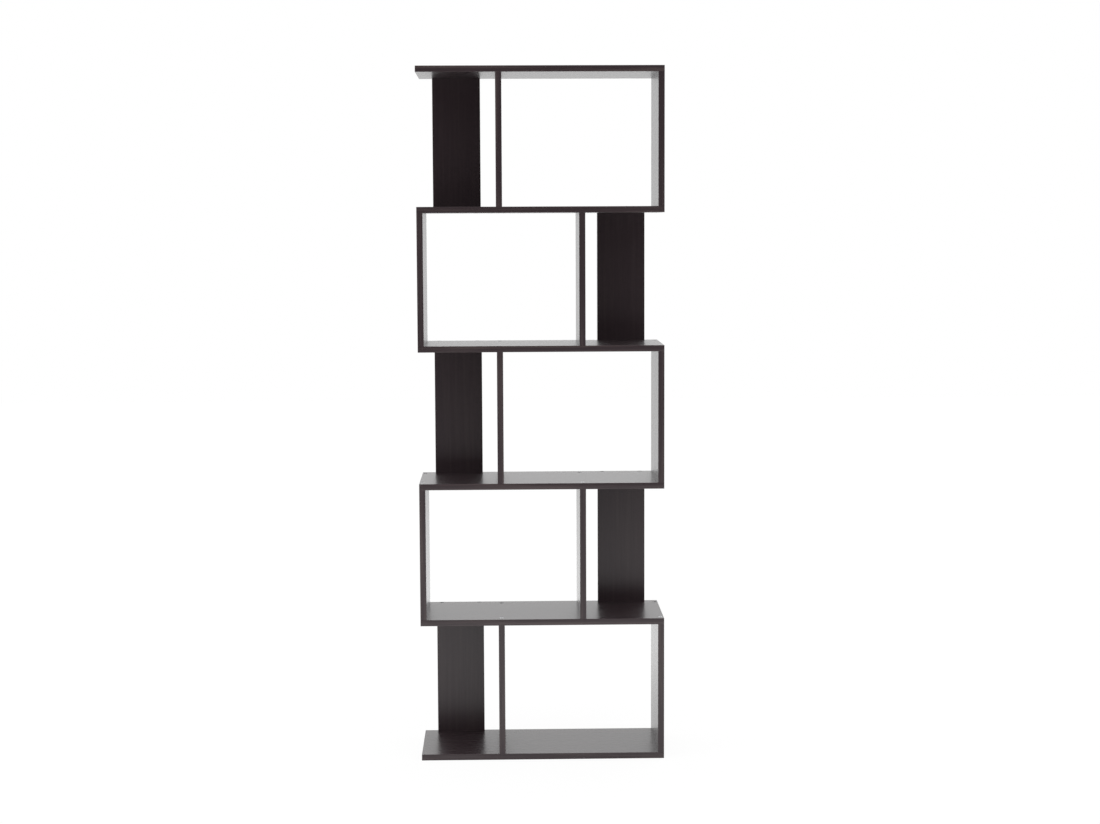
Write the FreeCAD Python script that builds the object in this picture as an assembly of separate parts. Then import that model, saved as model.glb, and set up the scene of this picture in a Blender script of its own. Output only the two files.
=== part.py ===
import FreeCAD, Part
import math
import os

# Open zig-zag bookcase with five tiers, in dark melamine-faced particle board.
# Millimetres, +Z up. The origin is on the floor under the middle of the base
# board, the front faces -Y, and +X is to the right of someone facing it.
# Tiers are numbered from the top. An odd tier is closed by a side panel at its
# right end and open at its left; an even tier is the other way round. The
# uprights stand between the shelf boards, and one-piece connector screws hold
# them: down through the board above and up through the board below. No two
# tiers in a row have an upright at the same place, so every head can be reached.

# Case
case_width = 600.0
case_depth = 240.0
case_height = 1700.0
tier_count = 5
board_thickness = 15.0

# Uprights of a tier, along X from the tier's open end
back_panel_setback = 33.0
back_panel_width = 120.0
divider_gap = 39.0

# Edging glued round the boards' exposed edges
edging_thickness = 0.8
edging_round = 0.5

# Where the uprights are fixed at each end
screw_edge_distance = 24.0
back_panel_screw_distance = 12.0

# Connector screw
screw_length = 50.0
screw_head_diameter = 10.0
screw_head_rim = 0.6
screw_head_cone = 1.5
front_screw_sink = 0.1
rear_screw_sink = 0.7
screw_shank_diameter = 7.0
screw_collar_length = 11.0
screw_core_diameter = 4.6
thread_pitch = 3.0
thread_crest_width = 0.3
thread_flank_width = 0.9
screw_tip_length = 4.0
screw_tip_diameter = 2.6
socket_width = 4.0
socket_depth = 3.0
screw_hole_clearance = 0.1
screw_hole_spare_depth = 2.0

# Locating dowel
dowel_diameter = 8.0
dowel_length = 30.0
dowel_in_shelf = 9.5
dowel_chamfer = 1.0
dowel_groove_count = 12
dowel_groove_width = 0.7
dowel_groove_depth = 0.4
dowel_hole_clearance = 0.05
dowel_hole_spare_depth = 0.5

# How far a cutting tool runs past the face that it opens
overrun = 1.0

tier_pitch = (case_height - board_thickness) / tier_count
x_axis = FreeCAD.Vector(1, 0, 0)
z_axis = FreeCAD.Vector(0, 0, 1)
centre = FreeCAD.Vector(0, 0, 0)


def block(spans):
    """Box that fills three spans, each a (low, high) pair, along X, Y and Z."""
    sides = [high - low for low, high in spans]
    corner = FreeCAD.Vector(*[low for low, high in spans])
    return Part.makeBox(*sides, corner)


def turned(profile):
    """Solid of revolution about Z from a closed list of (radius, z) points."""
    points = [FreeCAD.Vector(radius, 0, z) for radius, z in profile]
    face = Part.Face(Part.makePolygon(points + points[:1]))
    return face.revolve(centre, z_axis, 360).Solids[0]


def prism(outline, z_low, z_high):
    """Upright prism on a closed list of (x, y) points."""
    points = [FreeCAD.Vector(x, y, z_low) for x, y in outline]
    face = Part.Face(Part.makePolygon(points + points[:1]))
    return face.extrude(FreeCAD.Vector(0, 0, z_high - z_low))


def connector_screw(sink):
    """Screw that points down, with the top of its head sunk below a face at z = 0.

    The countersunk head has a hexagon socket. Below it are a plain collar,
    which fills the shelf board, and a coarse thread, drawn as separate rings.
    """
    head = screw_head_diameter / 2
    shank = screw_shank_diameter / 2
    core = screw_core_diameter / 2
    top = -sink
    cone_end = top - screw_head_rim - screw_head_cone
    thread_start = cone_end - screw_collar_length
    tip = top - screw_length
    thread_end = tip + screw_tip_length
    ring_width = thread_crest_width + 2 * thread_flank_width
    profile = [(0, top), (head, top), (head, top - screw_head_rim)]
    profile += [(shank, cone_end), (shank, thread_start), (core, thread_start)]
    ring_count = math.floor((thread_start - thread_end) / thread_pitch)
    for ring in range(ring_count):
        ring_end = thread_start - (ring + 1) * thread_pitch
        profile.append((core, ring_end + ring_width))
        profile.append((shank, ring_end + ring_width - thread_flank_width))
        profile.append((shank, ring_end + thread_flank_width))
        profile.append((core, ring_end))
    profile += [(core, thread_end), (screw_tip_diameter / 2, tip), (0, tip)]
    corner_radius = socket_width / math.sqrt(3)
    angles = [math.radians(60 * corner) for corner in range(6)]
    hexagon = [(corner_radius * math.cos(a), corner_radius * math.sin(a)) for a in angles]
    return turned(profile).cut(prism(hexagon, top - socket_depth, overrun)).Solids[0]


def screw_hole(sink):
    """Tool for a screw's whole hole, through the shelf board and into the upright's end.

    The cone seats the head, sunk below the board's face at z = 0. In the upright
    the thread has cut its own way, so the hole is drawn at the thread's crest.
    """
    head = screw_head_diameter / 2
    shank = screw_shank_diameter / 2
    slope = screw_head_cone / (head - shank)
    rim_end = -sink - screw_head_rim
    seat_top = rim_end + screw_hole_clearance * slope
    seat_end = rim_end - screw_head_cone + screw_hole_clearance * slope
    bottom = -sink - screw_length - screw_hole_spare_depth
    profile = [(0, overrun), (head + screw_hole_clearance, overrun)]
    profile += [(head + screw_hole_clearance, seat_top), (shank + screw_hole_clearance, seat_end)]
    profile += [(shank + screw_hole_clearance, -board_thickness), (shank, -board_thickness)]
    profile += [(shank, bottom), (0, bottom)]
    return turned(profile)


def dowel():
    """Grooved and chamfered wooden dowel that points down from the joint at z = 0."""
    radius = dowel_diameter / 2
    floor = radius - dowel_groove_depth
    top = dowel_in_shelf
    bottom = dowel_in_shelf - dowel_length
    half_groove = math.asin(dowel_groove_width / 2 / radius)
    outline = []
    for groove in range(dowel_groove_count):
        middle = 2 * math.pi * groove / dowel_groove_count
        for angle, reach in ((-half_groove, radius), (0, floor), (half_groove, radius)):
            outline.append((reach * math.cos(middle + angle), reach * math.sin(middle + angle)))
    end = radius - dowel_chamfer
    envelope = turned([(0, bottom), (end, bottom), (radius, bottom + dowel_chamfer),
                       (radius, top - dowel_chamfer), (end, top), (0, top)])
    return prism(outline, bottom, top).common(envelope).Solids[0]


def dowel_hole():
    """Tool for both halves of a dowel's hole, in the shelf board and in the upright."""
    radius = dowel_diameter / 2 + dowel_hole_clearance
    depth = dowel_length + 2 * dowel_hole_spare_depth
    bottom = FreeCAD.Vector(0, 0, dowel_in_shelf + dowel_hole_spare_depth - depth)
    return Part.makeCylinder(radius, depth, bottom)


def placed(shape, place, points_up):
    """Copy of a shape that is drawn pointing down, at a place, turned over if it points up."""
    copy = shape.copy()
    if points_up:
        copy.rotate(centre, x_axis, 180)
    copy.translate(FreeCAD.Vector(*place))
    return copy


def is_upright(edge):
    """Whether a straight edge runs along Z."""
    return round(abs(edge.tangentAt(0).z)) == 1


def make_board(spans, edged_axes, round_all):
    """Core and edging strips of a board that fills the spans.

    edged_axes lists the axes, 0 for X and 1 for Y, whose two sides carry
    edging; the first pair of strips runs the full length and covers the ends
    of the next. The arrises are rounded: all twelve, or only the upright ones.
    """
    blank = block(spans)
    arrises = [edge for edge in blank.Edges if round_all or is_upright(edge)]
    blank = blank.makeFillet(edging_round, arrises)
    inner = list(spans)
    strips = []
    for axis in edged_axes:
        low, high = inner[axis]
        for strip_span in ((low, low + edging_thickness), (high - edging_thickness, high)):
            slab = list(inner)
            slab[axis] = strip_span
            strips.append(blank.common(block(slab)).Solids[0])
        inner[axis] = (low + edging_thickness, high - edging_thickness)
    return blank.common(block(inner)).Solids[0], strips


def across(tier, near, far):
    """Span along X of what lies from near to far, measured from the tier's open end."""
    if tier % 2 == 1:
        return near - case_width / 2, far - case_width / 2
    return case_width / 2 - far, case_width / 2 - near


def middle_of(span):
    return sum(span) / 2


def uprights_of(tier):
    """Yield each upright of a tier: name, spans, edged axis, screw places and dowel place."""
    front_to_back = (-case_depth / 2, case_depth / 2)
    z_high = case_height - board_thickness - (tier - 1) * tier_pitch
    z_span = (z_high + board_thickness - tier_pitch, z_high)
    panel_end = back_panel_setback + back_panel_width
    divider_start = panel_end + divider_gap
    full_depth_uprights = (
        ("side_panel", across(tier, case_width - board_thickness, case_width)),
        ("divider", across(tier, divider_start, divider_start + board_thickness)),
    )
    for name, x_span in full_depth_uprights:
        x = middle_of(x_span)
        screws = [(x, y_end - math.copysign(screw_edge_distance, y_end)) for y_end in front_to_back]
        yield f"{name}_{tier}", (x_span, front_to_back, z_span), 1, screws, (x, 0)
    x_span = across(tier, back_panel_setback, panel_end)
    y_span = (case_depth / 2 - board_thickness, case_depth / 2)
    x, y = middle_of(x_span), middle_of(y_span)
    reach = back_panel_width / 2 - back_panel_screw_distance
    screws = [(x - reach, y), (x + reach, y)]
    yield f"back_panel_{tier}", (x_span, y_span, z_span), 0, screws, (x, y)


def shelf_name(level):
    """Name of a horizontal board; level 0 is the top board and tier_count is the base."""
    if level == 0:
        return "top_board"
    return "base_board" if level == tier_count else f"shelf_{level}"


def build():
    """All sub-parts, as a dictionary from node name to its list of solids."""
    nodes = {}
    front_pair, rear_pair = [(connector_screw(sink), screw_hole(sink))
                             for sink in (front_screw_sink, rear_screw_sink)]
    peg, peg_tool = dowel(), dowel_hole()
    shelf_holes = {level: [] for level in range(tier_count + 1)}

    for tier in range(1, tier_count + 1):
        screws, pegs = [], []
        for name, spans, edged_axis, screw_places, peg_place in uprights_of(tier):
            holes = []
            for level, z_end, points_up in ((tier - 1, spans[2][1], False), (tier, spans[2][0], True)):
                head_z = z_end - board_thickness if points_up else z_end + board_thickness
                tools = [placed(peg_tool, (*peg_place, z_end), points_up)]
                pegs.append(placed(peg, (*peg_place, z_end), points_up))
                for place in screw_places:
                    screw, screw_tool = front_pair if place[1] < 0 else rear_pair
                    tools.append(placed(screw_tool, (*place, head_z), points_up))
                    screws.append(placed(screw, (*place, head_z), points_up))
                shelf_holes[level] += tools
                holes += tools
            core, strips = make_board(spans, [edged_axis], False)
            nodes[name] = [core.cut(holes)]
            nodes[f"{name}_edging"] = strips
        nodes[f"tier_{tier}_screws"] = screws
        nodes[f"tier_{tier}_dowels"] = pegs

    for level, holes in shelf_holes.items():
        top = case_height - level * tier_pitch
        spans = ((-case_width / 2, case_width / 2), (-case_depth / 2, case_depth / 2),
                 (top - board_thickness, top))
        core, strips = make_board(spans, [1, 0], True)
        nodes[shelf_name(level)] = [core.cut(holes)]
        nodes[f"{shelf_name(level)}_edging"] = strips
    return nodes


os.makedirs("parts", exist_ok=True)
for node, solids in build().items():
    shape = Part.makeCompound(solids) if len(solids) > 1 else solids[0]
    shape.exportStep(f"parts/{node}.step")
    print(f"{node}: {len(shape.Solids)} solids, {shape.Volume / 1000:.1f} cm3, valid {shape.isValid()}")
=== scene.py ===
import math

import bmesh
import bpy
import numpy as np
from bpy.props import FloatProperty, FloatVectorProperty, IntProperty, PointerProperty
from mathutils import Matrix, Vector


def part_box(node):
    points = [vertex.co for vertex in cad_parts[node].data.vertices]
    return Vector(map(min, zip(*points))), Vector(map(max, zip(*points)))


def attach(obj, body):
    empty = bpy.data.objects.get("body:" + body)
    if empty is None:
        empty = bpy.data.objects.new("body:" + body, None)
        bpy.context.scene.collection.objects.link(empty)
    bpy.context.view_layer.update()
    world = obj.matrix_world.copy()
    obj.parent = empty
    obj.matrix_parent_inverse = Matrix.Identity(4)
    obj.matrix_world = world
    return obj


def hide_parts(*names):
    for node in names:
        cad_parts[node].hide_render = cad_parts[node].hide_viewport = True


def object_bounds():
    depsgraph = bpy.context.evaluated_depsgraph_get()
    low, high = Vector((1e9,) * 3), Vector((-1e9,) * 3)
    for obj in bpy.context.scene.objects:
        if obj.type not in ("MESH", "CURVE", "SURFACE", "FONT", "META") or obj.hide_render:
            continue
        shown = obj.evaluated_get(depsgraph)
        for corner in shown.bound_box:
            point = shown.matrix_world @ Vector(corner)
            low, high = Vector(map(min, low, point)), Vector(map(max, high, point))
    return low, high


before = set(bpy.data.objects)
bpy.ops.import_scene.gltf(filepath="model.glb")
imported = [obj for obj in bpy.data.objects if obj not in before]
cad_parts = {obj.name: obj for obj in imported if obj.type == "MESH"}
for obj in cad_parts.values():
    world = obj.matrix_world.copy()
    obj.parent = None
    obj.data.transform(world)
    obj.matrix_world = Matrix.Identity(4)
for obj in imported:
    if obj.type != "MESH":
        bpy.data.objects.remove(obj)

# Finishes, edging, screws, dowels and studio for an open zig-zag bookcase in
# dark melamine-faced board. Metres, with +Z up, the front facing -Y and the
# origin on the floor under the middle. Tiers are numbered from the top.

bl_info = {
    "name": "Zig-zag bookcase",
    "version": (1, 0, 0),
    "blender": (4, 5, 0),
    "location": "3D View > Sidebar > Bookcase",
    "description": "Dresses an open five-tier bookcase and lights it on a plain pale floor",
    "category": "Object",
}

CAD_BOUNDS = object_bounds()
MM = 0.001
X, Y, Z = np.eye(3)

BOARDS = sorted(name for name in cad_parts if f"{name}_edging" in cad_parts)
LEVEL_BOARDS = [name for name in BOARDS if name.startswith(("top", "shelf", "base"))]
UPRIGHTS = ("side_panel", "divider", "back_panel")
TIERS = sorted(int(name.split("_")[1]) for name in BOARDS if name.startswith("divider"))

# Noise behind the patterns, and the parts of its range, from 0 to 1, in which
# each feature sets in.
PRINT_NOISE = {"Detail": 4.0, "Roughness": 0.55, "Distortion": 0.25}
VEIN_RANGE = (0.42, 0.72)
FIBRE_RANGE = (0.3, 0.7)
PORE_RANGE = (0.3, 0.42)
PLATING_NOISE = {"Detail": 3.0, "Roughness": 0.6}
DULL_RANGE = (0.3, 0.7)
WOOD_NOISE = {"Detail": 3.0}
FLECK_RANGE = (0.5, 0.68)

# How far on in the print the next tier's boards and the next board's strips are
# cut, how far to either side of that a board's opposite strips are, and how far
# under a shelf the tier changes.
SHEET_SHIFT = (370 * MM, 230 * MM, 910 * MM)
ROLL_SHIFT = 1000 * MM
OPPOSITE_SHIFT = 310 * MM
SHEET_MARGIN = 0.1 * MM

# Sockets of a Mix node that is set to colours, which go by number.
FACTOR, COLOUR_A, COLOUR_B, MIXED = 0, 6, 7, 2

# Mesh edges shorter than this are dissolved, and those sharper than this stay sharp.
SHORTEST_EDGE = MM / 1000
SHARP_ANGLE = math.radians(40)

# The axes along which a direction goes from the studio's dark into its white, and
# where that starts and ends: from behind the camera to the sides, and from low to
# high.
STUDIO_FADES = (("Y", -0.85, -0.3), ("Z", 0.13, 0.65))
SENSOR_WIDTH = 36.0


def from_hex(colour):
    """Linear RGB of an sRGB hex colour such as "#2A2223"."""
    levels = np.array([int(colour[start:start + 2], 16) for start in (1, 3, 5)]) / 255
    linear = np.where(levels <= 0.04045, levels / 12.92, ((levels + 0.055) / 1.055) ** 2.4)
    return tuple(float(level) for level in linear)


def colour_property(name, description, default):
    """Colour, from an sRGB hex colour."""
    return FloatVectorProperty(name=name, description=description, subtype="COLOR", size=3,
                               min=0.0, max=1.0, default=from_hex(default))


def length_property(name, description, default_mm):
    """Length, from millimetres."""
    return FloatProperty(name=name, description=description, unit="LENGTH", min=0.0,
                         precision=5, default=default_mm * MM)


def place_property(name, description, default):
    """Place, from metres."""
    return FloatVectorProperty(name=name, description=description, size=3,
                               subtype="TRANSLATION", default=default)


def turn_property(name, description, default_degrees):
    """Angle, from degrees."""
    return FloatProperty(name=name, description=description, unit="ROTATION",
                         default=math.radians(default_degrees))


def share_property(name, description, default):
    """Share from 0 to 1."""
    return FloatProperty(name=name, description=description, subtype="FACTOR", min=0.0,
                         max=1.0, default=default)


def ior_property(name, description, default):
    """Refractive index."""
    return FloatProperty(name=name, description=description, min=1.0, max=3.0, default=default)


def brightness_property(name, description, default):
    """Brightness, which may be more than that of white."""
    return FloatProperty(name=name, description=description, min=0.0, default=default)


def count_property(name, description, least, default):
    """Whole number of at least the least."""
    return IntProperty(name=name, description=description, min=least, default=default)


class MelamineSettings(bpy.types.PropertyGroup):
    """Printed melamine film on the boards, and the edging in the same print."""

    ground: colour_property("Ground", "Main colour of the print", "#32262A")
    vein: colour_property("Vein", "Colour of the print's paler streaks", "#382D2F")
    edging: colour_property("Edging", "Main colour of the edging", "#392F32")
    rubbed: colour_property("Rubbed arris", "Colour where the edging's arris is rubbed", "#504545")
    streak_width: length_property("Streak width", "Width of one streak across the grain", 9.0)
    streak_length: length_property("Streak length", "Length of one streak along the grain", 320.0)
    streak_share: share_property("Streak share", "Vein's share in the palest streaks", 0.85)
    fibre_width: length_property("Fibre width", "Width of one fibre line", 1.6)
    fibre_length: length_property("Fibre length", "Length of one fibre line", 60.0)
    fibre_dark: share_property("Fibre dark", "How much darker the darkest fibre lines are", 0.08)
    fibre_pale: share_property("Fibre pale", "How much paler the palest fibre lines are", 0.06)
    pore_depth: length_property("Pore depth", "Depth of the embossed pores", 0.02)
    pore_share: share_property("Pore share", "How strongly the pores turn the light", 0.35)
    skin_roughness: share_property("Skin roughness", "Roughness of the film's clear skin", 0.27)
    skin_ior: ior_property("Skin IOR", "Refractive index of the film's clear skin", 1.48)
    roughness: share_property("Roughness", "Roughness of the texture pressed in the film", 0.5)
    ior: ior_property("IOR", "Refractive index of the film below its skin", 1.2)
    edging_roughness: share_property("Edging roughness", "Roughness of the edging", 0.3)
    edging_ior: ior_property("Edging IOR", "Refractive index of the edging's lacquer", 1.47)
    gloss_spread: share_property("Gloss spread", "How far the fibres change the roughness", 0.03)


class EdgingSettings(bpy.types.PropertyGroup):
    """Strips glued on the boards' edges."""

    thickness: length_property("Thickness", "Thickness of the strips", 0.8)
    arris: length_property("Arris radius", "Radius of the strips' outer arrises", 0.5)
    arris_steps: count_property("Arris steps", "Facets round one arris", 2, 6)


class ScrewSettings(bpy.types.PropertyGroup):
    """One-piece connector screws with a countersunk head and a hexagon socket."""

    length: length_property("Length", "Whole length of the screw", 50.0)
    head: length_property("Head diameter", "Diameter of the countersunk head", 10.0)
    rim: length_property("Head rim", "Height of the head's straight rim", 0.6)
    cone: length_property("Head cone", "Height of the head's cone", 1.5)
    front_sink: length_property("Front sink", "Depth of a front screw's head below the face", 0.1)
    rear_sink: length_property("Rear sink", "Depth of a rear screw's head below the face", 0.7)
    shank: length_property("Shank diameter", "Diameter of the collar and the thread's crest", 7.0)
    collar: length_property("Collar length", "Length of the plain collar", 11.0)
    core: length_property("Core diameter", "Diameter of the thread's core", 4.6)
    pitch: length_property("Pitch", "Pitch of the thread", 3.0)
    flank: length_property("Flank width", "Width of one flank of the thread", 0.9)
    crest: length_property("Crest width", "Width of the thread's crest", 0.3)
    tip: length_property("Tip length", "Length of the tapered tip", 4.0)
    tip_end: length_property("Tip diameter", "Diameter at the tip's end", 2.6)
    socket: length_property("Socket width", "Width across the socket's flats", 4.0)
    socket_depth: length_property("Socket depth", "Depth of the socket", 3.0)
    bevel: length_property("Bevel", "Bevel at the head, the socket and the collar's end", 0.15)
    edge_distance: length_property("Edge distance", "From a board's front or back edge", 24.0)
    panel_distance: length_property("Panel distance", "From a back panel's long edges", 12.0)
    facets: count_property("Facets", "Facets round the screw, a multiple of 12", 12, 24)
    thread_steps: count_property("Thread steps", "Rings of points in one turn of thread", 4, 8)
    zinc: colour_property("Zinc", "Colour of the plating", "#E4E6E9")
    zinc_dull: colour_property("Dull zinc", "Colour of the plating's duller patches", "#C6C9CF")
    patch: length_property("Patch size", "Size of the duller patches", 2.5)
    bright_roughness: share_property("Bright roughness", "Roughness of bright plating", 0.14)
    dull_roughness: share_property("Dull roughness", "Roughness of the duller patches", 0.26)


class DowelSettings(bpy.types.PropertyGroup):
    """Grooved beech dowels inside the joints."""

    diameter: length_property("Diameter", "Diameter of the dowel", 8.0)
    length: length_property("Length", "Length of the dowel", 30.0)
    in_shelf: length_property("In shelf", "How much of the dowel is in the level board", 9.5)
    chamfer: length_property("Chamfer", "Chamfer at both ends", 1.0)
    grooves: count_property("Grooves", "Number of lengthwise grooves", 3, 12)
    groove_depth: length_property("Groove depth", "Depth of the lengthwise grooves", 0.4)
    groove_width: length_property("Groove width", "Width of the lengthwise grooves", 0.7)
    groove_steps: count_property("Groove steps", "Facets from one groove to the next", 4, 8)
    beech: colour_property("Beech", "Main colour of the wood", "#C9A177")
    fleck: colour_property("Fleck", "Colour of the flecks and growth lines", "#A87C52")
    fleck_width: length_property("Fleck width", "Width of one fleck", 0.7)
    fleck_length: length_property("Fleck length", "Length of one fleck along the dowel", 9.0)
    relief: length_property("Relief", "Depth of the grain's relief", 0.05)
    relief_share: share_property("Relief share", "How strongly the relief turns the light", 0.3)
    roughness: share_property("Roughness", "Roughness of the turned wood", 0.62)


class StudioSettings(bpy.types.PropertyGroup):
    """Camera, floor and light."""

    camera_place: place_property("Camera", "Place of the camera", (-0.0883, -4.9591, 1.3207))
    yaw: turn_property("Yaw", "Turn of the camera to the right", 1.2893)
    pitch: turn_property("Pitch", "Tilt of the camera down", 5.3850)
    roll: turn_property("Roll", "Turn of the camera about its own axis", -0.2481)
    lens: FloatProperty(name="Lens", description="Focal length on a 36 mm wide sensor",
                        unit="CAMERA", default=65.27)
    white: colour_property("White", "Colour of the background and the floor's glow", "#FFFFFF")
    dark: colour_property("Dark side", "Colour of the studio behind the camera", "#2A2A2C")
    floor_size: length_property("Floor size", "Width of the floor", 20000.0)
    floor_front: length_property("Floor front", "How far the floor reaches in front", 6000.0)
    floor_drop: length_property("Floor drop", "Gap between the bookcase and the floor", 0.2)
    reflectance: share_property("Reflectance", "Share of light that the paper gives back", 0.86)
    floor_roughness: share_property("Floor roughness", "Roughness of the paper", 0.9)
    glow: brightness_property("Glow", "Brightness of the floor to the camera", 1.03)
    glow_share: share_property("Glow share", "Share of the glow in what the camera sees", 0.9)
    pool: brightness_property("Pool", "Brightness of the pool of light", 1.75)
    pool_share: share_property("Pool share", "Share of the pool in what reflections see", 0.6)
    pool_front: length_property("Pool front", "How far the pool reaches in front", 1000.0)
    pool_front_share: share_property("Pool front share", "Part left at the floor's front", 0.1)
    pool_back: length_property("Pool back", "How far the pool reaches behind", 1500.0)
    fade_back: length_property("Fade back", "How far behind the pool has faded", 5500.0)
    backdrop: brightness_property("Backdrop", "Brightness of the faded floor behind", 1.1)
    shade: length_property("Shade", "How far the bookcase dims the floor round it", 1200.0)
    shade_back: length_property("Shade back", "How far behind the shade's middle lies", 150.0)
    shade_core_share: share_property("Shade core share", "Part of it that is fully dimmed", 0.1)
    shade_share: share_property("Shade share", "Share of the light left where it is dimmed", 0.6)
    softbox_place: place_property("Softbox", "Place of the right softbox", (2.9, -2.0, 1.2))
    softbox_width: length_property("Softbox width", "Width of a softbox", 1000.0)
    softbox_height: length_property("Softbox height", "Height of a softbox", 2000.0)
    softbox_power: FloatProperty(name="Softbox power", description="Power of a softbox",
                                 unit="POWER", default=18.0)


class BookcaseSettings(bpy.types.PropertyGroup):
    """All sizes and colours of the bookcase's looks."""

    melamine: PointerProperty(type=MelamineSettings)
    edging: PointerProperty(type=EdgingSettings)
    screw: PointerProperty(type=ScrewSettings)
    dowel: PointerProperty(type=DowelSettings)
    studio: PointerProperty(type=StudioSettings)


def add_node(tree, kind, inputs, **settings):
    """Add a shader node.

    inputs maps a socket's name or number to its value, or to a socket to link it to.
    """
    node = tree.nodes.new(kind)
    for name, value in settings.items():
        setattr(node, name, value)
    for key, value in inputs.items():
        if isinstance(value, bpy.types.NodeSocket):
            tree.links.new(value, node.inputs[key])
        else:
            node.inputs[key].default_value = value
    return node


def new_material(name):
    """Empty material with its Principled shader; return the material, its tree and the shader."""
    material = bpy.data.materials.new(name)
    material.use_nodes = True
    return material, material.node_tree, material.node_tree.nodes["Principled BSDF"]


def opaque(colour):
    """Colour with the alpha that a socket wants."""
    return (*colour, 1.0)


def print_pattern(tree, vector, across, settings):
    """Streaks and fibre lines of the wood print, as two factors.

    Each is noise that is drawn out along the grain; across lists the axes across
    it. Real fibre lines are under half a millimetre wide. These are coarser, so
    that they show.
    """
    factors = []
    for length, width in ((settings.streak_length, settings.streak_width),
                          (settings.fibre_length, settings.fibre_width)):
        scale = [1 / width if axis in across else 1 / length for axis in "XYZ"]
        stretched = add_node(tree, "ShaderNodeMapping", {"Vector": vector, "Scale": scale})
        noise = add_node(tree, "ShaderNodeTexNoise", {
            "Vector": stretched.outputs[0], "Scale": 1.0, **PRINT_NOISE})
        factors.append(noise.outputs["Fac"])
    return factors


def film_shader(tree, shader, ground, vein, pattern, settings, roughness):
    """Colour, roughness and relief that the faces and the edging share.

    The streaks mix the vein's colour into the ground. The fibre lines make it
    darker or paler, the paler ones are glossier, and pores sink in the darkest.
    """
    streak, fibre = pattern
    veins = add_node(tree, "ShaderNodeMapRange", {
        "Value": streak, "From Min": VEIN_RANGE[0], "From Max": VEIN_RANGE[1],
        "To Max": settings.streak_share}, interpolation_type="SMOOTHSTEP")
    banded = add_node(tree, "ShaderNodeMix", {
        FACTOR: veins.outputs[0], COLOUR_A: ground, COLOUR_B: opaque(vein)}, data_type="RGBA")
    shade = add_node(tree, "ShaderNodeMapRange", {
        "Value": fibre, "From Min": FIBRE_RANGE[0], "From Max": FIBRE_RANGE[1],
        "To Min": 1 - settings.fibre_dark, "To Max": 1 + settings.fibre_pale})
    toned = add_node(tree, "ShaderNodeVectorMath", {
        0: banded.outputs[MIXED], "Scale": shade.outputs[0]}, operation="SCALE")
    gloss = add_node(tree, "ShaderNodeMapRange", {
        "Value": fibre, "From Min": FIBRE_RANGE[0], "From Max": FIBRE_RANGE[1],
        "To Min": roughness + settings.gloss_spread, "To Max": roughness - settings.gloss_spread})
    pores = add_node(tree, "ShaderNodeMapRange", {
        "Value": fibre, "From Min": PORE_RANGE[0], "From Max": PORE_RANGE[1]},
        interpolation_type="SMOOTHSTEP")
    relief = add_node(tree, "ShaderNodeBump", {
        "Height": pores.outputs[0], "Strength": settings.pore_share,
        "Distance": settings.pore_depth})
    tree.links.new(toned.outputs[0], shader.inputs["Base Color"])
    tree.links.new(gloss.outputs[0], shader.inputs["Roughness"])
    tree.links.new(relief.outputs[0], shader.inputs["Normal"])


def melamine_film(grain, settings):
    """Dark wenge print under clear melamine resin, pressed in an embossed plate.

    To the eye it is nearly black with faint brown streaks along the grain, and
    a satin gloss that turns pale grey where it is seen along the surface.
    """
    material, tree, shader = new_material(f"wenge_melamine_satin_grain_{grain.lower()}")
    place = add_node(tree, "ShaderNodeTexCoord", {}).outputs["Object"]
    # Each tier's boards are cut from another part of the sheet. The tier changes
    # just under a shelf, and not in its lower face, where rounding would mix the two.
    height = add_node(tree, "ShaderNodeSeparateXYZ", {0: place}).outputs["Z"]
    raised = add_node(tree, "ShaderNodeMath", {0: height, 1: SHEET_MARGIN}, operation="ADD")
    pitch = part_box("shelf_1")[0].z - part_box("shelf_2")[0].z
    level = add_node(tree, "ShaderNodeMath", {0: raised.outputs[0], 1: pitch}, operation="DIVIDE")
    tier = add_node(tree, "ShaderNodeMath", {0: level.outputs[0]}, operation="FLOOR")
    shift = add_node(tree, "ShaderNodeVectorMath", {
        0: SHEET_SHIFT, "Scale": tier.outputs[0]}, operation="SCALE")
    sheet = add_node(tree, "ShaderNodeVectorMath", {0: place, 1: shift.outputs[0]}, operation="ADD")
    across = [axis for axis in "XYZ" if axis != grain]
    pattern = print_pattern(tree, sheet.outputs[0], across, settings)
    ground = opaque(settings.ground)
    film_shader(tree, shader, ground, settings.vein, pattern, settings, settings.roughness)
    shader.inputs["IOR"].default_value = settings.ior
    shader.inputs["Coat Weight"].default_value = 1.0
    shader.inputs["Coat Roughness"].default_value = settings.skin_roughness
    shader.inputs["Coat IOR"].default_value = settings.skin_ior
    return material


def edging_film(settings):
    """Thin plastic edging printed like the boards.

    The eye sees the boards' colour a little paler and flatter, with the grain
    along each strip, and a fine pale line where the trimmed arris is rubbed.
    """
    material, tree, shader = new_material("wenge_plastic_edging_satin")
    along = add_node(tree, "ShaderNodeUVMap", {}, uv_map="strip").outputs[0]
    pattern = print_pattern(tree, along, "YZ", settings)
    rub = add_node(tree, "ShaderNodeAttribute", {}, attribute_name="arris").outputs["Fac"]
    worn = add_node(tree, "ShaderNodeMath", {0: rub, 1: pattern[1]}, operation="MULTIPLY")
    ground = add_node(tree, "ShaderNodeMix", {
        FACTOR: worn.outputs[0], COLOUR_A: opaque(settings.edging),
        COLOUR_B: opaque(settings.rubbed)}, data_type="RGBA").outputs[MIXED]
    film_shader(tree, shader, ground, settings.rubbed, pattern, settings,
                settings.edging_roughness)
    shader.inputs["IOR"].default_value = settings.edging_ior
    return material


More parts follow.
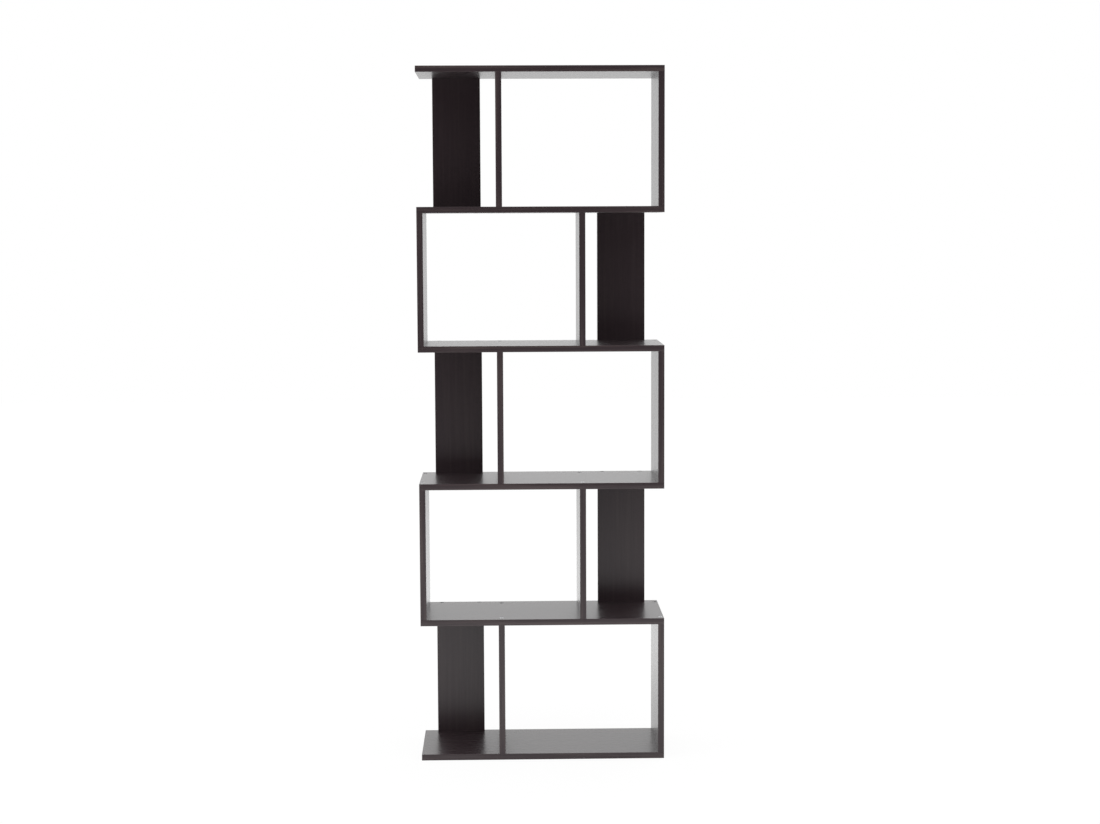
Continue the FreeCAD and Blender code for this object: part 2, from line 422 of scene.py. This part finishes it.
def zinc_plating(settings):
    """Steel under bright zinc plating.

    Small patches of duller plating break up the metal's clear reflections.
    """
    material, tree, shader = new_material("steel_bright_zinc_plated")
    place = add_node(tree, "ShaderNodeTexCoord", {}).outputs["Object"]
    patches = add_node(tree, "ShaderNodeTexNoise", {
        "Vector": place, "Scale": 1 / settings.patch, **PLATING_NOISE}).outputs["Fac"]
    mix = add_node(tree, "ShaderNodeMix", {
        FACTOR: patches, COLOUR_A: opaque(settings.zinc),
        COLOUR_B: opaque(settings.zinc_dull)}, data_type="RGBA")
    gloss = add_node(tree, "ShaderNodeMapRange", {
        "Value": patches, "From Min": DULL_RANGE[0], "From Max": DULL_RANGE[1],
        "To Min": settings.bright_roughness, "To Max": settings.dull_roughness})
    tree.links.new(mix.outputs[MIXED], shader.inputs["Base Color"])
    tree.links.new(gloss.outputs[0], shader.inputs["Roughness"])
    shader.inputs["Metallic"].default_value = 1.0
    return material


def bare_beech(settings):
    """Turned beech without a finish: pale tan, with short darker flecks along the dowel.

    Real flecks are finer. These are coarser, so that they show from close by.
    """
    material, tree, shader = new_material("beech_turned_unfinished")
    place = add_node(tree, "ShaderNodeTexCoord", {}).outputs["Object"]
    scale = (1 / settings.fleck_width, 1 / settings.fleck_width, 1 / settings.fleck_length)
    stretched = add_node(tree, "ShaderNodeMapping", {"Vector": place, "Scale": scale})
    grain = add_node(tree, "ShaderNodeTexNoise", {
        "Vector": stretched.outputs[0], "Scale": 1.0, **WOOD_NOISE}).outputs["Fac"]
    flecks = add_node(tree, "ShaderNodeMapRange", {
        "Value": grain, "From Min": FLECK_RANGE[0], "From Max": FLECK_RANGE[1]},
        interpolation_type="SMOOTHSTEP")
    mix = add_node(tree, "ShaderNodeMix", {
        FACTOR: flecks.outputs[0], COLOUR_A: opaque(settings.beech),
        COLOUR_B: opaque(settings.fleck)}, data_type="RGBA")
    relief = add_node(tree, "ShaderNodeBump", {
        "Height": grain, "Strength": settings.relief_share, "Distance": settings.relief})
    tree.links.new(mix.outputs[MIXED], shader.inputs["Base Color"])
    tree.links.new(relief.outputs[0], shader.inputs["Normal"])
    shader.inputs["Roughness"].default_value = settings.roughness
    return material


def floor_paper(studio):
    """Matt white paper on the studio's floor.

    The camera sees it nearly all white, with a trace of the bookcase's shadow.
    Reflections see a painted pool of light round the bookcase, a glow with a painted shadow at its
    foot, that fades into the white backdrop behind and into the dark in front.
    """
    material, tree, shader = new_material("floor_white_paper")
    shader.inputs["Base Color"].default_value = opaque([studio.reflectance] * 3)
    shader.inputs["Roughness"].default_value = studio.floor_roughness
    place = add_node(tree, "ShaderNodeTexCoord", {}).outputs["Object"]
    depth = add_node(tree, "ShaderNodeSeparateXYZ", {0: place}).outputs["Y"]
    in_front = add_node(tree, "ShaderNodeMapRange", {
        "Value": depth, "From Min": -studio.floor_front, "From Max": -studio.pool_front,
        "To Min": studio.pool_front_share * studio.pool, "To Max": studio.pool})
    behind = add_node(tree, "ShaderNodeMapRange", {
        "Value": depth, "From Min": studio.pool_back, "From Max": studio.fade_back,
        "To Min": studio.pool, "To Max": studio.backdrop})
    lit = add_node(tree, "ShaderNodeMath", {
        0: in_front.outputs[0], 1: behind.outputs[0]}, operation="MINIMUM")
    # Painted shadow of the bookcase: the pool's glow is dimmed round its foot.
    away = add_node(tree, "ShaderNodeVectorMath", {
        0: place, 1: (0.0, studio.shade_back, 0.0)}, operation="DISTANCE")
    shade = add_node(tree, "ShaderNodeMapRange", {
        "Value": away.outputs["Value"], "From Min": studio.shade_core_share * studio.shade,
        "From Max": studio.shade, "To Min": studio.shade_share, "To Max": 1.0},
        interpolation_type="SMOOTHSTEP")
    pool = add_node(tree, "ShaderNodeMath", {
        0: lit.outputs[0], 1: shade.outputs[0]}, operation="MULTIPLY")
    rays = add_node(tree, "ShaderNodeLightPath", {})
    surface = shader
    for ray, brightness, share in (("Is Glossy Ray", pool.outputs[0], studio.pool_share),
                                   ("Is Camera Ray", studio.glow, studio.glow_share)):
        light = add_node(tree, "ShaderNodeEmission", {
            "Color": opaque(studio.white), "Strength": brightness})
        mixed = add_node(tree, "ShaderNodeMath", {
            0: rays.outputs[ray], 1: share}, operation="MULTIPLY")
        surface = add_node(tree, "ShaderNodeMixShader", {
            0: mixed.outputs[0], 1: surface.outputs[0], 2: light.outputs[0]})
    tree.links.new(surface.outputs[0], tree.nodes["Material Output"].inputs["Surface"])
    return material


def clean_mesh(mesh):
    """Dissolve a mesh's edges of no length, turn its faces outwards and mark its sharp edges."""
    shell = bmesh.new()
    shell.from_mesh(mesh)
    bmesh.ops.dissolve_degenerate(shell, dist=SHORTEST_EDGE, edges=shell.edges)
    bmesh.ops.recalc_face_normals(shell, faces=shell.faces)
    shell.to_mesh(mesh)
    shell.free()
    mesh.set_sharp_from_angle(angle=SHARP_ANGLE)


def lofted_piece(name, surfaces, material):
    """Mesh object from closed surfaces, each a dictionary of arrays on one grid.

    "points" holds rings, one to a row, that close on themselves; the first and
    last rings are capped with one flat face each, and some of a ring's points may
    meet, as at a rounded end. "u" and "v" are the optional lengths along and round
    the surface, which become the UV map "strip", and "arris" is an optional mask
    on the grid.
    """
    points, faces, smooth, uvs, mask = [], [], [], [], []
    first = 0
    for surface in surfaces:
        rings = surface["points"]
        rows, columns = rings.shape[:2]
        number = first + np.arange(rows * columns).reshape(rows, columns)
        turned = np.roll(number, -1, axis=1)
        quads = np.stack([number[:-1], turned[:-1], turned[1:], number[1:]], axis=-1)
        quads = quads.reshape(-1, 4)
        faces += quads.tolist() + [number[0][::-1].tolist(), number[-1].tolist()]
        smooth += [True] * len(quads) + [False, False]
        points.append(rings.reshape(-1, 3))
        first += rows * columns
        if "u" in surface:
            u = np.repeat(surface["u"][:, None], columns + 1, axis=1)
            v = np.repeat(surface["v"][None, :], rows, axis=0)
            grid = np.stack([u, v], axis=-1)
            corners = [grid[:-1, :-1], grid[:-1, 1:], grid[1:, 1:], grid[1:, :-1]]
            sides = np.stack(corners, axis=2).reshape(-1, 2)
            uvs += [sides, grid[0, :-1][::-1], grid[-1, :-1]]
            mask.append(surface["arris"].reshape(-1))
    mesh = bpy.data.meshes.new(name)
    mesh.from_pydata(np.concatenate(points).tolist(), [], faces)
    mesh.polygons.foreach_set("use_smooth", smooth)
    if uvs:
        layer = mesh.uv_layers.new(name="strip")
        layer.data.foreach_set("uv", np.concatenate(uvs).ravel())
        attribute = mesh.attributes.new("arris", "FLOAT", "POINT")
        attribute.data.foreach_set("value", np.concatenate(mask))
    clean_mesh(mesh)
    mesh.materials.append(material)
    piece = bpy.data.objects.new(name, mesh)
    bpy.context.scene.collection.objects.link(piece)
    return piece


def edging_strip(start, end, outward, width, sizes, ends_rounded, roll):
    """Strip glued on a board's edge, as a profile carried along a straight path.

    The profile is a flat bar: a rectangle, smaller by the arris radius on its
    outer three sides, plus that radius times each point's outward direction.
    Where the ends are rounded, the radius shrinks there as the sine of an angle
    while the place along the path goes as the cosine, which rounds the corner
    like a ball. roll is the place in the print where the strip starts.
    """
    length = np.linalg.norm(end - start)
    along = (end - start) / length
    across = np.cross(along, outward)
    steps = np.linspace(0, math.pi / 2, sizes.arris_steps + 1)
    flat, half = sizes.thickness - sizes.arris, width / 2 - sizes.arris
    # Rows of outward place, across place, outward direction and across direction
    lower = [(flat, -half, math.sin(a), -math.cos(a)) for a in steps]
    upper = [(flat, half, math.sin(a), math.cos(a)) for a in steps[::-1]]
    profile = np.array([(0, -half, 0, -1), *lower, *upper, (0, half, 0, 1)])
    if ends_rounded:
        near = sizes.arris * (1 - np.cos(steps))
        place = np.concatenate([near, length - near[::-1]])
        radius = sizes.arris * np.concatenate([np.sin(steps), np.sin(steps[::-1])])
    else:
        place = np.array([0, length])
        radius = np.full(2, sizes.arris)
    out = profile[:, 0] + radius[:, None] * profile[:, 2]
    side = profile[:, 1] + radius[:, None] * profile[:, 3]
    points = (start + place[:, None, None] * along + out[..., None] * outward
              + side[..., None] * across)
    full = profile[:, :2] + sizes.arris * profile[:, 2:]
    round_trip = np.linalg.norm(np.diff(np.vstack([full, full[:1]]), axis=0), axis=1)
    # The rubbed line is strongest halfway round an arris, and none on the flats.
    bulge = 2 * np.abs(profile[:, 2] * profile[:, 3])
    return {"points": points, "u": place + roll, "v": np.concatenate([[0], np.cumsum(round_trip)]),
            "arris": np.repeat(bulge[None], len(place), axis=0)}


def strips_of(board, sizes):
    """Edging strips of a board: all round a level one, and on two sides of an upright."""
    low, high = (np.array(corner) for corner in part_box(f"{board}_edging"))
    middle, size = (low + high) / 2, high - low
    # Rows of the direction to a side, the strip's path, whether its ends are rounded
    # and what the strips before it take off its ends
    if board in LEVEL_BOARDS:
        sides = [(Y, X, True, 0.0), (X, Y, False, sizes.thickness)]
    else:
        sides = [(X if board.startswith("back_panel") else Y, Z, False, 0.0)]
    strips = []
    for axis, path, ends_rounded, taken in sides:
        half = path * (size @ path / 2 - taken)
        width = size @ np.abs(np.cross(axis, path))
        for side in (-1, 1):
            outward = side * axis
            face = middle + outward * (size @ axis / 2 - sizes.thickness)
            roll = BOARDS.index(board) * ROLL_SHIFT + side * OPPOSITE_SHIFT
            strips.append(edging_strip(face - half, face + half, outward, width, sizes,
                                       ends_rounded, roll))
    return strips


def rings_about_axis(turn, rings):
    """Points at the angles in turn on rings about Z.

    Each ring is a radius, or one radius to an angle, and a height.
    """
    radius = np.array([np.broadcast_to(reach, turn.shape) for reach, height in rings])
    height = np.array([np.full_like(turn, height) for reach, height in rings])
    return np.stack([radius * np.cos(turn), radius * np.sin(turn), height], axis=-1)


def hexagon_reach(angle, width):
    """Distance from the centre to a hexagon's side at an angle, with a corner at angle 0.

    It is half the width across the flats over the cosine of the angle to the
    middle of the nearest flat.
    """
    sector = math.pi / 3
    return width / 2 / np.cos(angle % sector - sector / 2)


def connector_screw(sizes, sink):
    """Screw that points down, sunk below a board's face at z = 0, as rings of points.

    The rings run from the socket's floor, up its six flats, over the head and
    down to the tip. The thread's radius falls from crest to core with the
    distance from the ridge of a right-handed helix, which climbs one pitch a turn.
    """
    turn = np.linspace(0, 2 * math.pi, sizes.facets, endpoint=False)
    head, shank, core = sizes.head / 2, sizes.shank / 2, sizes.core / 2
    bevel = sizes.bevel
    top = -sink
    cone_end = top - sizes.rim - sizes.cone
    collar_end = cone_end - sizes.collar
    tip = top - sizes.length
    thread_end = tip + sizes.tip
    socket = hexagon_reach(turn, sizes.socket)
    rings = [
        (socket, top - sizes.socket_depth), (socket, top - bevel),
        (hexagon_reach(turn, sizes.socket + 2 * bevel), top),
        (head - bevel, top), (head, top - bevel), (head, top - sizes.rim), (shank, cone_end),
        (shank, collar_end + bevel), (shank - bevel, collar_end)]
    steps = round((collar_end - thread_end) / sizes.pitch * sizes.thread_steps)
    for z in np.linspace(collar_end, thread_end, steps):
        phase = (z / sizes.pitch - turn / (2 * math.pi)) % 1
        away = np.abs(phase - 0.5) * sizes.pitch - sizes.crest / 2
        ridge = np.clip(1 - away / sizes.flank, 0, 1)
        fade = min(1, (collar_end - z) / sizes.pitch, (z - thread_end) / sizes.pitch)
        rings.append((core + (shank - core) * ridge * fade, z))
    rings.append((sizes.tip_end / 2, tip))
    return rings_about_axis(turn, rings)


def grooved_dowel(sizes):
    """Dowel that points down from the joint at z = 0, as rings of points.

    Its radius is that of a cylinder, less a straight-sided dip at each groove,
    or at both ends less the chamfer where that is more.
    """
    turn = np.linspace(0, 2 * math.pi, sizes.grooves * sizes.groove_steps, endpoint=False)
    spacing = 2 * math.pi / sizes.grooves
    radius = sizes.diameter / 2
    off_groove = np.abs((turn + spacing / 2) % spacing - spacing / 2) * radius
    dip = sizes.groove_depth * np.clip(1 - off_groove / sizes.groove_width * 2, 0, 1)
    top, bottom = sizes.in_shelf, sizes.in_shelf - sizes.length
    body, end = radius - dip, np.minimum(radius - dip, radius - sizes.chamfer)
    return rings_about_axis(turn, [
        (end, top), (body, top - sizes.chamfer), (body, bottom + sizes.chamfer), (end, bottom)])


def joints_of(tier, sizes):
    """Yield each joint of a tier, at the upper and the lower end of its uprights.

    A joint is its middle, the step from there to one of its screws, which the
    other mirrors, and whether its screws and dowel point up.
    """
    for kind in UPRIGHTS:
        low, high = (np.array(corner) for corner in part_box(f"{kind}_{tier}_edging"))
        middle, size = (low + high) / 2, high - low
        if kind == "back_panel":
            reach = X * (size @ X / 2 - sizes.panel_distance)
        else:
            reach = Y * (size @ Y / 2 - sizes.edge_distance)
        for height, points_up in ((high @ Z, False), (low @ Z, True)):
            yield middle * (X + Y) + Z * height, reach, points_up


def placed(rings, place, points_up):
    """Surface of rings drawn pointing down, turned over about X if they point up, at a place."""
    flip = np.array([1, -1, -1]) if points_up else 1
    return {"points": rings * flip + place}


def stand_for(piece, node):
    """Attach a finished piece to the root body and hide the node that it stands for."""
    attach(piece, "root")
    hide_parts(node)


class BOOKCASE_OT_finish_boards(bpy.types.Operator):
    """Give every board its melamine film, with the grain along the board"""

    bl_idname = "bookcase.finish_boards"
    bl_label = "Finish boards"

    def execute(self, context):
        settings = context.scene.bookcase.melamine
        level, upright = melamine_film("X", settings), melamine_film("Z", settings)
        for name in BOARDS:
            film = level if name in LEVEL_BOARDS else upright
            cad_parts[name].material_slots[0].material = film
        return {"FINISHED"}


class BOOKCASE_OT_make_edging(bpy.types.Operator):
    """Make the edging strips of every board"""

    bl_idname = "bookcase.make_edging"
    bl_label = "Make edging"

    def execute(self, context):
        settings = context.scene.bookcase
        film = edging_film(settings.melamine)
        for board in BOARDS:
            strips = strips_of(board, settings.edging)
            piece = lofted_piece(f"{board}_edge_strips", strips, film)
            stand_for(piece, f"{board}_edging")
        return {"FINISHED"}


class BOOKCASE_OT_make_screws(bpy.types.Operator):
    """Make each tier's connector screws"""

    bl_idname = "bookcase.make_screws"
    bl_label = "Make screws"

    def execute(self, context):
        sizes = context.scene.bookcase.screw
        zinc = zinc_plating(sizes)
        front_screw = connector_screw(sizes, sizes.front_sink)
        rear_screw = connector_screw(sizes, sizes.rear_sink)
        low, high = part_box("top_board")
        through = Z * (high - low).z
        for tier in TIERS:
            screws = []
            for joint, reach, points_up in joints_of(tier, sizes):
                # The heads are on the far side of the level board.
                outside = -through if points_up else through
                for place in (joint - reach, joint + reach):
                    screw = front_screw if place @ Y < 0 else rear_screw
                    screws.append(placed(screw, place + outside, points_up))
            piece = lofted_piece(f"tier_{tier}_connector_screws", screws, zinc)
            stand_for(piece, f"tier_{tier}_screws")
        return {"FINISHED"}


class BOOKCASE_OT_make_dowels(bpy.types.Operator):
    """Make each tier's locating dowels"""

    bl_idname = "bookcase.make_dowels"
    bl_label = "Make dowels"

    def execute(self, context):
        settings = context.scene.bookcase
        beech = bare_beech(settings.dowel)
        dowel = grooved_dowel(settings.dowel)
        for tier in TIERS:
            dowels = [placed(dowel, joint, points_up)
                      for joint, reach, points_up in joints_of(tier, settings.screw)]
            piece = lofted_piece(f"tier_{tier}_beech_dowels", dowels, beech)
            stand_for(piece, f"tier_{tier}_dowels")
        return {"FINISHED"}


class BOOKCASE_OT_make_stage(bpy.types.Operator):
    """Make the pale floor, the surroundings and the softboxes"""

    bl_idname = "bookcase.make_stage"
    bl_label = "Make stage"

    def execute(self, context):
        studio = context.scene.bookcase.studio
        self.make_floor(context.scene, studio)
        self.make_surroundings(context.scene, studio)
        self.make_softboxes(context.scene, studio)
        context.scene.view_settings.view_transform = "Standard"
        return {"FINISHED"}

    def make_floor(self, scene, studio):
        """Flat floor just under the base."""
        side, front, back = studio.floor_size / 2, -studio.floor_front, studio.floor_size / 2
        corners = [(-side, front), (side, front), (side, back), (-side, back)]
        mesh = bpy.data.meshes.new("floor")
        mesh.from_pydata([(x, y, -studio.floor_drop) for x, y in corners], [], [(0, 1, 2, 3)])
        mesh.materials.append(floor_paper(studio))
        floor = bpy.data.objects.new("floor", mesh)
        scene.collection.objects.link(floor)

    def make_surroundings(self, scene, studio):
        """White on all sides but low down behind the camera, where the studio is dark.

        The camera itself sees only white. Elsewhere the colour is mixed by the
        larger of the two fades.
        """
        world = bpy.data.worlds.new("white_studio")
        world.use_nodes = True
        tree = world.node_tree
        direction = add_node(tree, "ShaderNodeTexCoord", {}).outputs["Generated"]
        axes = add_node(tree, "ShaderNodeSeparateXYZ", {0: direction})
        white = add_node(tree, "ShaderNodeLightPath", {}).outputs["Is Camera Ray"]
        for axis, low, high in STUDIO_FADES:
            open_side = add_node(tree, "ShaderNodeMapRange", {
                "Value": axes.outputs[axis], "From Min": low, "From Max": high},
                interpolation_type="SMOOTHSTEP")
            white = add_node(tree, "ShaderNodeMath", {
                0: white, 1: open_side.outputs[0]}, operation="MAXIMUM").outputs[0]
        mix = add_node(tree, "ShaderNodeMix", {
            FACTOR: white, COLOUR_A: opaque(studio.dark),
            COLOUR_B: opaque(studio.white)}, data_type="RGBA")
        tree.links.new(mix.outputs[MIXED], tree.nodes["Background"].inputs["Color"])
        scene.world = world

    def make_softboxes(self, scene, studio):
        """Two upright softboxes, in front at either side, aimed at the bookcase's middle."""
        target = sum(CAD_BOUNDS, Vector()) / 2
        for side, name in ((-1, "softbox_left"), (1, "softbox_right")):
            light = bpy.data.lights.new(name, "AREA")
            light.shape = "RECTANGLE"
            light.size = studio.softbox_width
            light.size_y = studio.softbox_height
            light.energy = studio.softbox_power
            lamp = bpy.data.objects.new(name, light)
            lamp.location = studio.softbox_place
            lamp.location.x *= side
            lamp.rotation_euler = (lamp.location - target).to_track_quat("Z", "Y").to_euler()
            scene.collection.objects.link(lamp)


class BOOKCASE_OT_set_camera(bpy.types.Operator):
    """Put the camera where the photograph was taken from"""

    bl_idname = "bookcase.set_camera"
    bl_label = "Set camera"

    def execute(self, context):
        studio = context.scene.bookcase.studio
        data = bpy.data.cameras.new("camera")
        data.sensor_width = SENSOR_WIDTH
        data.lens = studio.lens
        camera = bpy.data.objects.new("camera", data)
        camera.matrix_world = (
            Matrix.Translation(studio.camera_place)
            @ Matrix.Rotation(-studio.yaw, 4, "Z")
            @ Matrix.Rotation(math.pi / 2 - studio.pitch, 4, "X")
            @ Matrix.Rotation(studio.roll, 4, "Z"))
        context.scene.collection.objects.link(camera)
        context.scene.camera = camera
        return {"FINISHED"}


class BOOKCASE_PT_panel(bpy.types.Panel):
    """Sizes, colours and steps of the bookcase"""

    bl_idname = "BOOKCASE_PT_panel"
    bl_label = "Bookcase"
    bl_space_type = "VIEW_3D"
    bl_region_type = "UI"
    bl_category = "Bookcase"

    def draw(self, context):
        settings = context.scene.bookcase
        for group in BookcaseSettings.__annotations__:
            box = self.layout.box()
            box.label(text=group.capitalize())
            part = getattr(settings, group)
            for name in type(part).__annotations__:
                box.prop(part, name)
        for operator in OPERATORS:
            self.layout.operator(operator.bl_idname)


OPERATORS = (BOOKCASE_OT_set_camera, BOOKCASE_OT_make_stage, BOOKCASE_OT_finish_boards,
             BOOKCASE_OT_make_edging, BOOKCASE_OT_make_screws, BOOKCASE_OT_make_dowels)
CLASSES = (MelamineSettings, EdgingSettings, ScrewSettings, DowelSettings, StudioSettings,
           BookcaseSettings, *OPERATORS, BOOKCASE_PT_panel)


def register():
    for item in CLASSES:
        bpy.utils.register_class(item)
    bpy.types.Scene.bookcase = PointerProperty(type=BookcaseSettings)


def unregister():
    del bpy.types.Scene.bookcase
    for item in reversed(CLASSES):
        bpy.utils.unregister_class(item)


def main():
    """Register the classes and make everything in order."""
    register()
    bpy.ops.bookcase.set_camera()
    bpy.ops.bookcase.make_stage()
    bpy.ops.bookcase.finish_boards()
    bpy.ops.bookcase.make_edging()
    bpy.ops.bookcase.make_screws()
    bpy.ops.bookcase.make_dowels()


if __name__ == "__main__":
    main()
